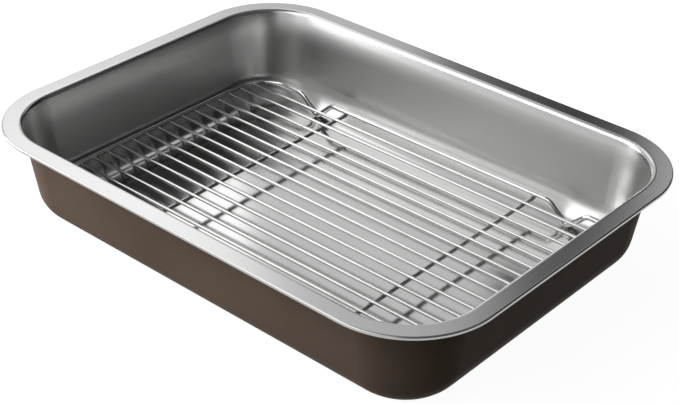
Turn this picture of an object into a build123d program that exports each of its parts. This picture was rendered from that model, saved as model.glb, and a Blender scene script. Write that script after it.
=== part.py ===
from build123d import *
from math import hypot, radians, sqrt, tan
import os

# Roasting pan with a loose footed wire rack, in millimetres.
# The origin is the middle of the pan's underside, X runs along the pan and Z is up.

# Pan, drawn from one sheet of steel
pan_length = 400.0
pan_width = 300.0
pan_height = 73.0
sheet_thickness = 0.8
rim_corner_radius = 61.5
flange_width = 13.6
flange_bend_radius = 3.2
lip_depth = 2.0
lip_bend_radius = 1.1
wall_draft_deg = 8.5
floor_bend_radius = 24.2

# Rack, welded from round wire; its reach and gap are measured from the sharp foot of the pan's walls.
# The cross wires and the feet sit a little to the right of the middle.
rack_end_reach = 0.4
rack_side_gap = 10.1
frame_wire_diameter = 4.0
frame_corner_radius = 25.0
cross_wire_diameter = 3.0
cross_wire_inset = 86.0
cross_wire_overhang = 1.0
fitting_shift = 2.5
bar_diameter = 2.4
bar_count = 17
bar_edge_gap = 13.5
weld_sink = 0.3

# Feet, bent down out of the frame wire in a V; the drop is that of its sharp corner
foot_clearance = 0.3
foot_drop = 14.3
foot_inset = 57.0
foot_half_width = 15.5
foot_tip_radius = 4.0
foot_shoulder_radius = 8.0

frame_radius = frame_wire_diameter / 2
cross_wire_radius = cross_wire_diameter / 2
bar_radius = bar_diameter / 2

# How far in from the rim the wall's line meets the floor, and the flat floor starts
inside_depth = pan_height - sheet_thickness
wall_foot = flange_width + inside_depth * tan(radians(wall_draft_deg))
floor_start = wall_foot + floor_bend_radius * tan(radians((90 - wall_draft_deg) / 2))
floor_plate_inset = floor_start + sheet_thickness

# Middle lines of the rack's wires
frame_half_length = pan_length / 2 - wall_foot + rack_end_reach - frame_radius
frame_half_width = pan_width / 2 - wall_foot - rack_side_gap - frame_radius
bar_span = 2 * (frame_half_width - bar_edge_gap)
bar_pitch = bar_span / (bar_count - 1)
foot_reach = frame_half_length - foot_inset

# The feet stand where the floor starts to bend up into the long walls
bend_climb = max(frame_half_width - (pan_width / 2 - floor_start), 0)
seat_radius = floor_bend_radius - foot_clearance - frame_radius
foot_tip_z = sheet_thickness + floor_bend_radius - sqrt(seat_radius**2 - bend_climb**2)

# Heights of the wires' middles; a foot's rounded tip takes a little off its drop
foot_arm = hypot(foot_drop, foot_half_width)
tip_rounding = foot_tip_radius * (foot_arm / foot_half_width - 1)
frame_z = foot_tip_z + foot_drop - tip_rounding
cross_wire_z = frame_z - (frame_radius + cross_wire_radius - weld_sink)
bar_z = cross_wire_z + (cross_wire_radius + bar_radius - weld_sink)


def sheet_section():
    """The sheet cut across: lip, flange, wall and floor bend, measured in from the rim."""
    inside = FilletPolyline(
        (0, pan_height - lip_depth),
        (0, pan_height),
        (flange_width, pan_height),
        (wall_foot, sheet_thickness),
        (floor_plate_inset, sheet_thickness),
        radius=[lip_bend_radius, flange_bend_radius, floor_bend_radius],
    )
    return make_face(offset(inside, amount=sheet_thickness, side=Side.RIGHT))


def make_pan():
    """One quarter of the drawn rim and wall, mirrored twice, round a flat floor."""
    corner_x = pan_length / 2 - rim_corner_radius
    corner_y = pan_width / 2 - rim_corner_radius
    section = sheet_section()
    long_start = Plane(origin=(0, -pan_width / 2, 0), x_dir=(0, 1, 0), z_dir=(1, 0, 0))
    long_end = Plane(origin=(corner_x, -pan_width / 2, 0), x_dir=(0, 1, 0), z_dir=(1, 0, 0))
    short_start = Plane(origin=(pan_length / 2, -corner_y, 0), x_dir=(-1, 0, 0), z_dir=(0, 1, 0))
    corner_axis = Axis((corner_x, -corner_y, 0), (0, 0, 1))
    quarter = extrude(long_start * section, corner_x)
    quarter += revolve(long_end * section, corner_axis, 90)
    quarter += extrude(short_start * section, corner_y)
    half = quarter + mirror(quarter, Plane.XZ)
    rim_and_wall = half + mirror(half, Plane.YZ)
    floor_length = pan_length - 2 * floor_plate_inset
    floor_width = pan_width - 2 * floor_plate_inset
    floor_outline = RectangleRounded(floor_length, floor_width, rim_corner_radius - floor_plate_inset)
    return rim_and_wall + extrude(floor_outline, sheet_thickness)


def make_frame_end(side):
    """One end of the frame, from the middle of both long sides, with its two V feet."""
    foot_x = side * foot_reach + fitting_shift
    end_x = side * frame_half_length
    path = FilletPolyline(
        (0, frame_half_width, frame_z),
        (foot_x - side * foot_half_width, frame_half_width, frame_z),
        (foot_x, frame_half_width, frame_z - foot_drop),
        (foot_x + side * foot_half_width, frame_half_width, frame_z),
        (end_x, frame_half_width, frame_z),
        (end_x, 0, frame_z),
        radius=[foot_shoulder_radius, foot_tip_radius, foot_shoulder_radius, frame_corner_radius],
    )
    wire_end = Plane(origin=(0, frame_half_width, frame_z), z_dir=(side, 0, 0))
    quarter = sweep(wire_end * Circle(frame_radius), path=path)
    return quarter + mirror(quarter, Plane.XZ)


def make_frame():
    """A closed loop of wire with four V feet."""
    return make_frame_end(-1) + make_frame_end(1)


def straight_wire(radius, length, middle, direction):
    """A round wire of the given length, centred on its middle point."""
    return Plane(origin=middle, z_dir=direction) * Cylinder(radius, length)


def make_cross_wire(x, frame):
    """A wire across the rack, notched where it is welded under the frame's long sides."""
    length = 2 * (frame_half_width + cross_wire_overhang)
    wire = straight_wire(cross_wire_radius, length, (x, 0, cross_wire_z), (0, 1, 0))
    return wire - frame


def make_bar(y, frame, cross_wires):
    """A long bar, saddled onto both cross wires and cut to the frame's end wires."""
    wire = straight_wire(bar_radius, 2 * frame_half_length, (0, y, bar_z), (1, 0, 0))
    for seat in (*cross_wires, frame):
        wire = wire - seat
    return wire.solids().sort_by(SortBy.VOLUME)[-1]


def make_parts():
    """Every piece by its name."""
    frame = make_frame()
    reach = frame_half_length - cross_wire_inset
    cross_wires = [make_cross_wire(side * reach + fitting_shift, frame) for side in (-1, 1)]
    parts = {
        "pan": make_pan(),
        "rack_frame": frame,
        "cross_wire_left": cross_wires[0],
        "cross_wire_right": cross_wires[1],
    }
    for number in range(bar_count):
        bar_y = number * bar_pitch - bar_span / 2
        parts[f"bar_{number + 1:02d}"] = make_bar(bar_y, frame, cross_wires)
    return parts


os.makedirs("parts", exist_ok=True)
for name, shape in make_parts().items():
    export_step(shape, f"parts/{name}.step")
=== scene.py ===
from math import radians
from typing import NamedTuple

import bpy
from mathutils import Euler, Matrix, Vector


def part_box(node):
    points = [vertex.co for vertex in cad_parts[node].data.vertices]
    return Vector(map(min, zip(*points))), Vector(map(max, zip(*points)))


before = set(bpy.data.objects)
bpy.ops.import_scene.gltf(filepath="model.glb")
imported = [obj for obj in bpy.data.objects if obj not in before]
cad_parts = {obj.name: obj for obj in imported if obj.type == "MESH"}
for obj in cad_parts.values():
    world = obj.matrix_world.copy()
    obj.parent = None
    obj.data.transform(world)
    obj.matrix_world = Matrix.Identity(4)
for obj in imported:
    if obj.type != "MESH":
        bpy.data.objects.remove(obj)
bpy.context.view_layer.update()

# Roasting pan with a loose footed wire rack: looks, lights and camera. Lengths are in metres.


class Pattern(NamedTuple):
    """A noise texture: about how many features a metre holds, and how many finer layers it has."""

    scale: float
    detail: float


class BackFlag(NamedTuple):
    """One card in the row along the back, from its left end to its right end."""

    name: str
    left_x: float
    right_x: float
    top: float


class Softbox(NamedTuple):
    """A rectangular lamp that points at its target, with its power in watts."""

    name: str
    place: tuple
    target: tuple
    width: float
    height: float
    power: float


PAN_NODE = "pan"
RACK_NODES = sorted(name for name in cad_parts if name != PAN_NODE)

# Camera, placed as the photograph was taken
CAMERA_PLACE = Vector((0.589378, -0.670926, 0.575105))
CAMERA_TURN = Euler((radians(58.3178), radians(-0.996), radians(41.4955)))
CAMERA_LENS = 81.17
CAMERA_CLIP_START = 0.01
SENSOR_WIDTH = 36.0

# Floor and surroundings. Self-light is what the camera and mirrors see of them, where 1 is white.
# The ambient level is the world's light on the object.
FLOOR_SIZE = 40.0
FLOOR_COLOUR = (0.24, 0.24, 0.24, 1.0)
FLOOR_SELF_LIGHT = 0.955
WORLD_COLOUR = (1.0, 1.0, 1.0, 1.0)
WORLD_SELF_LIGHT = 1.0
AMBIENT_LEVEL = 0.26

# Flags, the dark cards round the object that the metal reflects
FLAG_COLOUR = (0.082, 0.079, 0.075, 1.0)
FLAG_SELF_LIGHT_RIGHT = 0.11
FLAG_SELF_LIGHT_ABOVE = 0.22
FLAG_BOTTOM = 0.02
FLAG_TOP = 1.9
FLAGS_RIGHT_X = 1.0
FLAGS_BACK_Y = 1.2
RIGHT_FLAG_FRONT_Y = -1.5
ABOVE_FLAG_LEFT_X = -0.8
ABOVE_FLAG_FRONT_Y = -1.2
BACK_FLAGS = (
    BackFlag("flag_back", left_x=-0.66, right_x=-0.40, top=FLAG_TOP),
    BackFlag("flag_back_gap", left_x=-0.40, right_x=-0.10, top=0.52),
    BackFlag("flag_back_right", left_x=-0.10, right_x=FLAGS_RIGHT_X, top=FLAG_TOP),
    BackFlag("flag_back_low", left_x=-0.82, right_x=-0.66, top=0.86),
)

SOFTBOXES = (
    Softbox(
        name="softbox_back_left",
        place=(-0.80, 0.42, 0.745),
        target=(-0.1, -0.1, 0.073),
        width=0.46,
        height=0.52,
        power=0.88,
    ),
    Softbox(
        name="softbox_left_high",
        place=(-0.68, -0.22, 0.98),
        target=(0.0, 0.12, 0.0),
        width=0.75,
        height=0.32,
        power=0.45,
    ),
    Softbox(
        name="softbox_front_left",
        place=(-0.56, -0.90, 0.72),
        target=(-0.15, -0.15, 0.03),
        width=1.5,
        height=1.3,
        power=8.5,
    ),
    Softbox(
        name="softbox_low_left",
        place=(-0.62, -0.38, 0.20),
        target=(-0.18, -0.145, 0.04),
        width=0.30,
        height=0.25,
        power=2.2,
    ),
)

# The whole of a range, and the parts of a noise texture's range that a ramp takes in
WHOLE = (0.0, 1.0)
MOST_OF_NOISE = (0.1, 0.9)
MIDDLE_OF_NOISE = (0.3, 0.7)
UPPER_NOISE = (0.4, 0.75)

# The pan's steel; the clouded colours are those of its duller clouds and polishing lines. The
# walls' colours are painted light, lighter than the bottom's, and the rim's colour is painted
# shade, darker than both
STEEL = (0.52, 0.52, 0.516, 1.0)
STEEL_CLOUDED = (0.47, 0.47, 0.467, 1.0)
STEEL_WALL_PAINTED_LIGHTER = (0.57, 0.57, 0.566, 1.0)
STEEL_WALL_CLOUDED_PAINTED_LIGHTER = (0.54, 0.54, 0.536, 1.0)
STEEL_RIM_PAINTED_SHADE = (0.42, 0.42, 0.417, 1.0)
STEEL_CLOUDS = Pattern(scale=9.0, detail=1.0)
BOTTOM_ROUGHNESS = 0.13
WALL_ROUGHNESS = 0.31
RIM_ROUGHNESS = 0.225
ROUGHNESS_SWING = 0.022

# Fine polishing lines along the nearest side, and the stretch in a corner where they turn
POLISH = Pattern(scale=900.0, detail=1.0)
POLISH_STRETCH = 0.02
POLISH_SWING = 0.5
POLISH_TURN = (-0.004, 0.004)

# Half of the pan's straight sides, between its rounded corners
PAN_CORNER_RADIUS = 0.0615
PAN_HIGH_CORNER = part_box(PAN_NODE)[1]
STRAIGHT_HALF_LENGTH = PAN_HIGH_CORNER.x - PAN_CORNER_RADIUS
STRAIGHT_HALF_WIDTH = PAN_HIGH_CORNER.y - PAN_CORNER_RADIUS

# Heights on the pan between which its steel changes, where those at the rim go by its top. The
# colour changes there are painted light on the walls and painted shade on the rim
PAN_TOP = PAN_HIGH_CORNER.z
WALL_PAINTED_LIGHT_RISE = (0.002, 0.030)
WALL_POLISH_RISE = (0.001, 0.013)
RIM_PAINTED_SHADE_AND_POLISH_RISE = (PAN_TOP - 0.007, PAN_TOP - 0.001)
SOFT_BEND_RISE = (PAN_TOP - 0.023, PAN_TOP - 0.0018)
SOFT_BEND_STRENGTH = 1.0
SOFT_BEND_DEPTH = 0.0016

# The brown coat on the pan's outside, which ends between these two downward tilts of a face
COAT_LIGHT = (0.186, 0.136, 0.104, 1.0)
COAT_DARK = (0.148, 0.108, 0.083, 1.0)
COAT_SPECULAR = 0.015
COAT_ROUGHNESS = (0.42, 0.56)
COAT_MOTTLE = Pattern(scale=14.0, detail=5.0)
COAT_SPECKLE = Pattern(scale=1400.0, detail=2.0)
COAT_SPECKLE_STRENGTH = 0.12
COAT_SPECKLE_DEPTH = 0.0002
COAT_EDGE = (-0.10, -0.04)

# The rack's plated wire
CHROME = (0.52, 0.52, 0.515, 1.0)
CHROME_DULL = (0.46, 0.456, 0.445, 1.0)
CHROME_ROUGHNESS = (0.10, 0.20)
CHROME_CLOUDS = Pattern(scale=60.0, detail=4.0)
CHROME_SPECKS = Pattern(scale=1600.0, detail=2.0)
CHROME_SPECK_STRENGTH = 0.04
CHROME_SPECK_DEPTH = 0.0001


class Nodes:
    """Short calls for building one node tree."""

    def __init__(self, tree):
        self.tree = tree
        tree.nodes.clear()

    def add(self, kind, **settings):
        node = self.tree.nodes.new(kind)
        for name, value in settings.items():
            setattr(node, name, value)
        return node

    def link(self, source, target):
        self.tree.links.new(source, target)

    def feed(self, socket, value):
        """A socket takes a link or a plain value."""
        if isinstance(value, bpy.types.NodeSocket):
            self.link(value, socket)
        else:
            socket.default_value = value

    def math(self, operation, first, second=0.0):
        node = self.add("ShaderNodeMath", operation=operation)
        self.feed(node.inputs[0], first)
        self.feed(node.inputs[1], second)
        return node.outputs[0]

    def ramp(self, value, span, to_span=WHOLE):
        """A straight change over to_span while the value goes over span, and level beyond it."""
        node = self.add("ShaderNodeMapRange")
        for socket, number in zip(node.inputs[1:5], (*span, *to_span)):
            socket.default_value = number
        self.link(value, node.inputs[0])
        return node.outputs[0]

    def split(self, vector):
        """The X, Y and Z of a vector, by name."""
        node = self.add("ShaderNodeSeparateXYZ")
        self.link(vector, node.inputs[0])
        return node.outputs

    def noise(self, place, pattern, stretch=(1.0, 1.0, 1.0)):
        mapping = self.add("ShaderNodeMapping")
        mapping.inputs["Scale"].default_value = stretch
        self.link(place, mapping.inputs["Vector"])
        node = self.add("ShaderNodeTexNoise")
        node.inputs["Scale"].default_value = pattern.scale
        node.inputs["Detail"].default_value = pattern.detail
        self.link(mapping.outputs[0], node.inputs["Vector"])
        return node.outputs["Fac"]

    def mix_colour(self, factor, first, second):
        node = self.add("ShaderNodeMix", data_type="RGBA")
        self.feed(node.inputs["Factor"], factor)
        self.feed(node.inputs["A"], first)
        self.feed(node.inputs["B"], second)
        return node.outputs["Result"]

    def bump(self, height, strength, distance):
        node = self.add("ShaderNodeBump")
        node.inputs["Strength"].default_value = strength
        node.inputs["Distance"].default_value = distance
        self.link(height, node.inputs["Height"])
        return node.outputs[0]


def new_material(name):
    material = bpy.data.materials.new(name)
    material.use_nodes = True
    return material, Nodes(material.node_tree)


def seen_directly(nodes):
    """1 for what the camera, a mirror or glass sees, 0 for light that only lights the object."""
    path = nodes.add("ShaderNodeLightPath")
    seen = nodes.math("MAXIMUM", path.outputs["Is Camera Ray"], path.outputs["Is Glossy Ray"])
    return nodes.math("MAXIMUM", seen, path.outputs["Is Transmission Ray"])


def make_camera():
    camera = bpy.data.objects.new("camera", bpy.data.cameras.new("camera"))
    camera.location = CAMERA_PLACE
    camera.rotation_euler = CAMERA_TURN
    camera.data.lens = CAMERA_LENS
    camera.data.sensor_width = SENSOR_WIDTH
    camera.data.clip_start = CAMERA_CLIP_START
    bpy.context.scene.collection.objects.link(camera)
    bpy.context.scene.camera = camera


def make_plane(name, corners, material):
    mesh = bpy.data.meshes.new(name)
    mesh.from_pydata(corners, [], [(0, 1, 2, 3)])
    mesh.materials.append(material)
    plane = bpy.data.objects.new(name, mesh)
    bpy.context.scene.collection.objects.link(plane)
    return plane


def level_corners(left_x, right_x, front_y, back_y, height):
    """The corners of a level plane."""
    return [
        (left_x, front_y, height),
        (right_x, front_y, height),
        (right_x, back_y, height),
        (left_x, back_y, height),
    ]


def upright_corners(start, end, top):
    """The corners of a card that stands just above the floor, between two places on it."""
    return [(*start, FLAG_BOTTOM), (*end, FLAG_BOTTOM), (*end, top), (*start, top)]


def make_card_material(name, colour, self_light):
    """A matt card, which also glows where it is seen directly or in a mirror."""
    material, nodes = new_material(name)
    output = nodes.add("ShaderNodeOutputMaterial")
    diffuse = nodes.add("ShaderNodeBsdfDiffuse")
    diffuse.inputs["Color"].default_value = colour
    glow = nodes.add("ShaderNodeEmission")
    nodes.link(nodes.math("MULTIPLY", seen_directly(nodes), self_light), glow.inputs["Strength"])
    both = nodes.add("ShaderNodeAddShader")
    nodes.link(diffuse.outputs[0], both.inputs[0])
    nodes.link(glow.outputs[0], both.inputs[1])
    nodes.link(both.outputs[0], output.inputs["Surface"])
    return material


def make_floor():
    material = make_card_material("floor", FLOOR_COLOUR, FLOOR_SELF_LIGHT)
    half = FLOOR_SIZE / 2
    make_plane("floor", level_corners(-half, half, -half, half, 0.0), material)


def make_world():
    world = bpy.data.worlds.new("studio")
    bpy.context.scene.world = world
    world.use_nodes = True
    nodes = Nodes(world.node_tree)
    output = nodes.add("ShaderNodeOutputWorld")
    background = nodes.add("ShaderNodeBackground")
    strength = nodes.ramp(seen_directly(nodes), WHOLE, (AMBIENT_LEVEL, WORLD_SELF_LIGHT))
    nodes.link(strength, background.inputs["Strength"])
    background.inputs["Color"].default_value = WORLD_COLOUR
    nodes.link(background.outputs[0], output.inputs["Surface"])


def make_flag(name, corners, self_light=0.0):
    """A dark card, which the metal reflects and the camera doesn't see."""
    flag = make_plane(name, corners, make_card_material(name, FLAG_COLOUR, self_light))
    flag.visible_camera = False


def make_flags():
    """Cards on the right, along the back and above."""
    right_front = (FLAGS_RIGHT_X, RIGHT_FLAG_FRONT_Y)
    right_back = (FLAGS_RIGHT_X, FLAGS_BACK_Y)
    right = upright_corners(right_front, right_back, FLAG_TOP)
    make_flag("flag_right", right, FLAG_SELF_LIGHT_RIGHT)
    for flag in BACK_FLAGS:
        left_end = (flag.left_x, FLAGS_BACK_Y)
        right_end = (flag.right_x, FLAGS_BACK_Y)
        make_flag(flag.name, upright_corners(left_end, right_end, flag.top))
    above = level_corners(
        left_x=ABOVE_FLAG_LEFT_X,
        right_x=FLAGS_RIGHT_X,
        front_y=ABOVE_FLAG_FRONT_Y,
        back_y=FLAGS_BACK_Y,
        height=FLAG_TOP,
    )
    make_flag("flag_above", above, FLAG_SELF_LIGHT_ABOVE)


def make_softbox(softbox):
    light = bpy.data.lights.new(softbox.name, "AREA")
    light.shape = "RECTANGLE"
    light.size = softbox.width
    light.size_y = softbox.height
    light.energy = softbox.power
    lamp = bpy.data.objects.new(softbox.name, light)
    lamp.location = softbox.place
    aim = Vector(softbox.target) - Vector(softbox.place)
    lamp.rotation_euler = aim.to_track_quat("-Z", "Y").to_euler()
    bpy.context.scene.collection.objects.link(lamp)


def make_stage():
    make_floor()
    make_world()
    make_flags()
    for softbox in SOFTBOXES:
        make_softbox(softbox)


def polish_lines(nodes, place):
    """Fine lines left by polishing, which run along the nearest side of the pan."""
    split = nodes.split(place)
    past_end = nodes.math("SUBTRACT", nodes.math("ABSOLUTE", split["X"]), STRAIGHT_HALF_LENGTH)
    past_side = nodes.math("SUBTRACT", nodes.math("ABSOLUTE", split["Y"]), STRAIGHT_HALF_WIDTH)
    at_end = nodes.ramp(nodes.math("SUBTRACT", past_end, past_side), POLISH_TURN)
    along_x = nodes.noise(place, POLISH, (POLISH_STRETCH, 1.0, 1.0))
    along_y = nodes.noise(place, POLISH, (1.0, POLISH_STRETCH, 1.0))
    first = nodes.math("MULTIPLY", along_x, nodes.math("SUBTRACT", 1.0, at_end))
    return nodes.math("ADD", first, nodes.math("MULTIPLY", along_y, at_end))


def soft_bend(nodes, height):
    """Shading that makes the tight bend between wall and rim look wider and softer."""
    below_rim = nodes.ramp(height, SOFT_BEND_RISE)
    drawn_in = nodes.math("SUBTRACT", 1.0, nodes.math("MULTIPLY", below_rim, below_rim))
    return nodes.bump(drawn_in, SOFT_BEND_STRENGTH, SOFT_BEND_DEPTH)


def satin_steel(nodes, place):
    """Steel that is nearly a mirror on the bottom, satin on the walls and smoother on the rim. Its
    walls have a lighter colour as painted light, and its rim a darker one as painted shade.
    """
    height = nodes.split(place)["Z"]
    steel = nodes.add("ShaderNodeBsdfPrincipled")
    steel.inputs["Metallic"].default_value = 1.0
    clouds = nodes.noise(place, STEEL_CLOUDS)
    at_wall_painted_light = nodes.ramp(height, WALL_PAINTED_LIGHT_RISE)
    at_rim_painted_shade_and_polish = nodes.ramp(height, RIM_PAINTED_SHADE_AND_POLISH_RISE)

    lines = nodes.ramp(polish_lines(nodes, place), MOST_OF_NOISE, (-POLISH_SWING, POLISH_SWING))
    dull = nodes.math("ADD", nodes.ramp(clouds, MOST_OF_NOISE), lines)
    bottom_colour = nodes.mix_colour(dull, STEEL, STEEL_CLOUDED)
    # Painted light: the walls' steel colour is lighter than the bottom's
    wall_painted_light_colour = nodes.mix_colour(dull, STEEL_WALL_PAINTED_LIGHTER, STEEL_WALL_CLOUDED_PAINTED_LIGHTER)
    colour_with_painted_light_walls = nodes.mix_colour(at_wall_painted_light, bottom_colour, wall_painted_light_colour)
    # Painted shade: the rim's steel colour is darker than the walls'
    nodes.link(nodes.mix_colour(at_rim_painted_shade_and_polish, colour_with_painted_light_walls, STEEL_RIM_PAINTED_SHADE), steel.inputs["Base Color"])

    drawn_roughness = nodes.ramp(height, WALL_POLISH_RISE, (BOTTOM_ROUGHNESS, WALL_ROUGHNESS))
    rim_change = nodes.math("MULTIPLY", at_rim_painted_shade_and_polish, RIM_ROUGHNESS - WALL_ROUGHNESS)
    even_roughness = nodes.math("ADD", drawn_roughness, rim_change)
    swing = nodes.ramp(clouds, MOST_OF_NOISE, (-ROUGHNESS_SWING, ROUGHNESS_SWING))
    nodes.link(nodes.math("ADD", even_roughness, swing), steel.inputs["Roughness"])

    nodes.link(soft_bend(nodes, height), steel.inputs["Normal"])
    return steel.outputs[0]


def baked_coat(nodes, place):
    """A brown coat, mottled and finely speckled."""
    coat = nodes.add("ShaderNodeBsdfPrincipled")
    coat.inputs["Specular IOR Level"].default_value = COAT_SPECULAR
    mottle = nodes.ramp(nodes.noise(place, COAT_MOTTLE), MIDDLE_OF_NOISE)
    speckle = nodes.noise(place, COAT_SPECKLE)
    nodes.link(nodes.mix_colour(mottle, COAT_DARK, COAT_LIGHT), coat.inputs["Base Color"])
    nodes.link(nodes.ramp(speckle, MIDDLE_OF_NOISE, COAT_ROUGHNESS), coat.inputs["Roughness"])
    relief = nodes.bump(speckle, COAT_SPECKLE_STRENGTH, COAT_SPECKLE_DEPTH)
    nodes.link(relief, coat.inputs["Normal"])
    return coat.outputs[0]


def make_pan_material():
    """Steel on the faces that look up or level, and the coat on those that look down."""
    material, nodes = new_material("pan_steel")
    output = nodes.add("ShaderNodeOutputMaterial")
    place = nodes.add("ShaderNodeTexCoord")
    up = nodes.split(place.outputs["Normal"])["Z"]
    steel = satin_steel(nodes, place.outputs["Object"])
    coat = baked_coat(nodes, place.outputs["Object"])
    both = nodes.add("ShaderNodeMixShader")
    nodes.link(nodes.ramp(up, COAT_EDGE), both.inputs[0])
    nodes.link(coat, both.inputs[1])
    nodes.link(steel, both.inputs[2])
    nodes.link(both.outputs[0], output.inputs["Surface"])
    return material


def make_wire_material():
    """Bright plated wire with small dull patches and fine specks."""
    material, nodes = new_material("rack_wire")
    output = nodes.add("ShaderNodeOutputMaterial")
    place = nodes.add("ShaderNodeTexCoord").outputs["Object"]
    chrome = nodes.add("ShaderNodeBsdfPrincipled")
    chrome.inputs["Metallic"].default_value = 1.0
    clouds = nodes.noise(place, CHROME_CLOUDS)
    specks = nodes.noise(place, CHROME_SPECKS)
    colour = nodes.mix_colour(nodes.ramp(clouds, UPPER_NOISE), CHROME, CHROME_DULL)
    nodes.link(colour, chrome.inputs["Base Color"])
    nodes.link(nodes.ramp(clouds, MIDDLE_OF_NOISE, CHROME_ROUGHNESS), chrome.inputs["Roughness"])
    relief = nodes.bump(specks, CHROME_SPECK_STRENGTH, CHROME_SPECK_DEPTH)
    nodes.link(relief, chrome.inputs["Normal"])
    nodes.link(chrome.outputs[0], output.inputs["Surface"])
    return material


def dress(node, material):
    """Gives a CAD node one material in place of its own."""
    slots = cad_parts[node].data.materials
    slots.clear()
    slots.append(material)


make_camera()
make_stage()
dress(PAN_NODE, make_pan_material())
wire = make_wire_material()
for rack_node in RACK_NODES:
    dress(rack_node, wire)

bpy.context.scene.view_settings.view_transform = "Standard"
